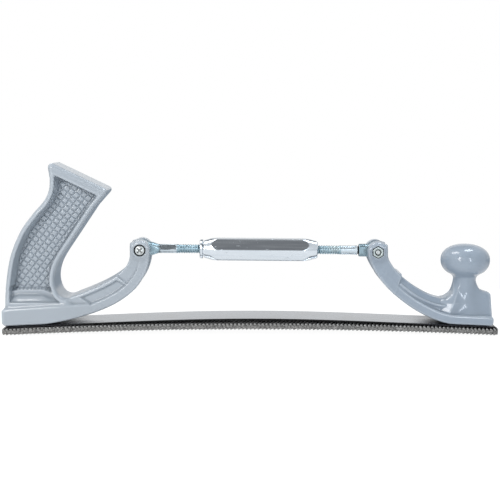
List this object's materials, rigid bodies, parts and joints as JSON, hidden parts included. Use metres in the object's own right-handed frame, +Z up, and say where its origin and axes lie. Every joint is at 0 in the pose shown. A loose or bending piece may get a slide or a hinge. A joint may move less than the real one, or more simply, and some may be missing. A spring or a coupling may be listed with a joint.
{
  "type": "flexible body file holder with blade",
  "caption": "Hand tool for shaping car-body panels: curved-tooth file blade on a spring strip, cast grip and knob handles, and a turnbuckle that bends the blade.",
  "frame": {"origin": "under the middle of the blade, on the level of the tooth tips at the blade's two ends", "axes": "+X along the blade from the rear grip to the front knob, +Y across the blade away from the picture's camera, +Z up"},
  "size_m": [0.355, 0.035, 0.1223],
  "materials": {
    "cast_paint": "cast, painted grey-blue, semi-gloss",
    "file_steel": "hardened, dull grey",
    "spring_steel": "bright, lightly brushed",
    "zinc": "bluish zinc plating",
    "bright_plating": "bright plating over drawn hexagon bar"
  },
  "bodies": {
    "bed": {"file_blade": "file_steel", "flex_strip": "spring_steel"},
    "rear_holder": {"rear_handle": "cast_paint", "rear_pivot_screw": "zinc", "rear_pivot_nut": "zinc", "rear_blade_screw": "zinc", "rear_outer_rivet": "spring_steel", "rear_inner_rivet": "spring_steel"},
    "front_holder": {"front_handle": "cast_paint", "front_pivot_screw": "zinc", "front_pivot_nut": "zinc", "front_blade_screw": "zinc", "front_outer_rivet": "spring_steel", "front_inner_rivet": "spring_steel"},
    "rear_rod": {"left_hand_eye_rod": "zinc"},
    "front_rod": {"right_hand_eye_rod": "zinc"},
    "sleeve": {"turnbuckle_sleeve": "bright_plating"}
  },
  "joints": [
    {"name": "sleeve_spin", "type": "hinge", "parent": "bed", "child": "sleeve", "pos_m": [0.0063, 0, 0.05984], "axis": [1, 0, -0.0083], "range_deg": [-1440, 1440]},
    {"name": "rear_flex", "type": "hinge", "parent": "bed", "child": "rear_holder", "pos_m": [-0.07833, 0, 0.00836], "axis": [0, 1, 0], "range_deg": [-5.6, 5.6], "deforming": ["flex_strip", "file_blade"]},
    {"name": "front_flex", "type": "hinge", "parent": "bed", "child": "front_holder", "pos_m": [0.09093, 0, 0.00836], "axis": [0, 1, 0], "range_deg": [-5.75, 5.75], "deforming": ["flex_strip", "file_blade"]},
    {"name": "rear_pivot", "type": "hinge", "parent": "rear_holder", "child": "rear_rod", "pos_m": [-0.07833, 0, 0.06054], "axis": [0, 1, 0], "range_deg": [-5.6, 5.6]},
    {"name": "front_pivot", "type": "hinge", "parent": "front_holder", "child": "front_rod", "pos_m": [0.09093, 0, 0.05914], "axis": [0, 1, 0], "range_deg": [-5.75, 5.75]}
  ],
  "couplings": [
    {"joint": "rear_flex", "follows": "sleeve_spin", "ratio": 0.003874},
    {"joint": "front_flex", "follows": "sleeve_spin", "ratio": -0.0039808},
    {"joint": "rear_pivot", "follows": "sleeve_spin", "ratio": -0.003874},
    {"joint": "front_pivot", "follows": "sleeve_spin", "ratio": 0.0039808}
  ]
}
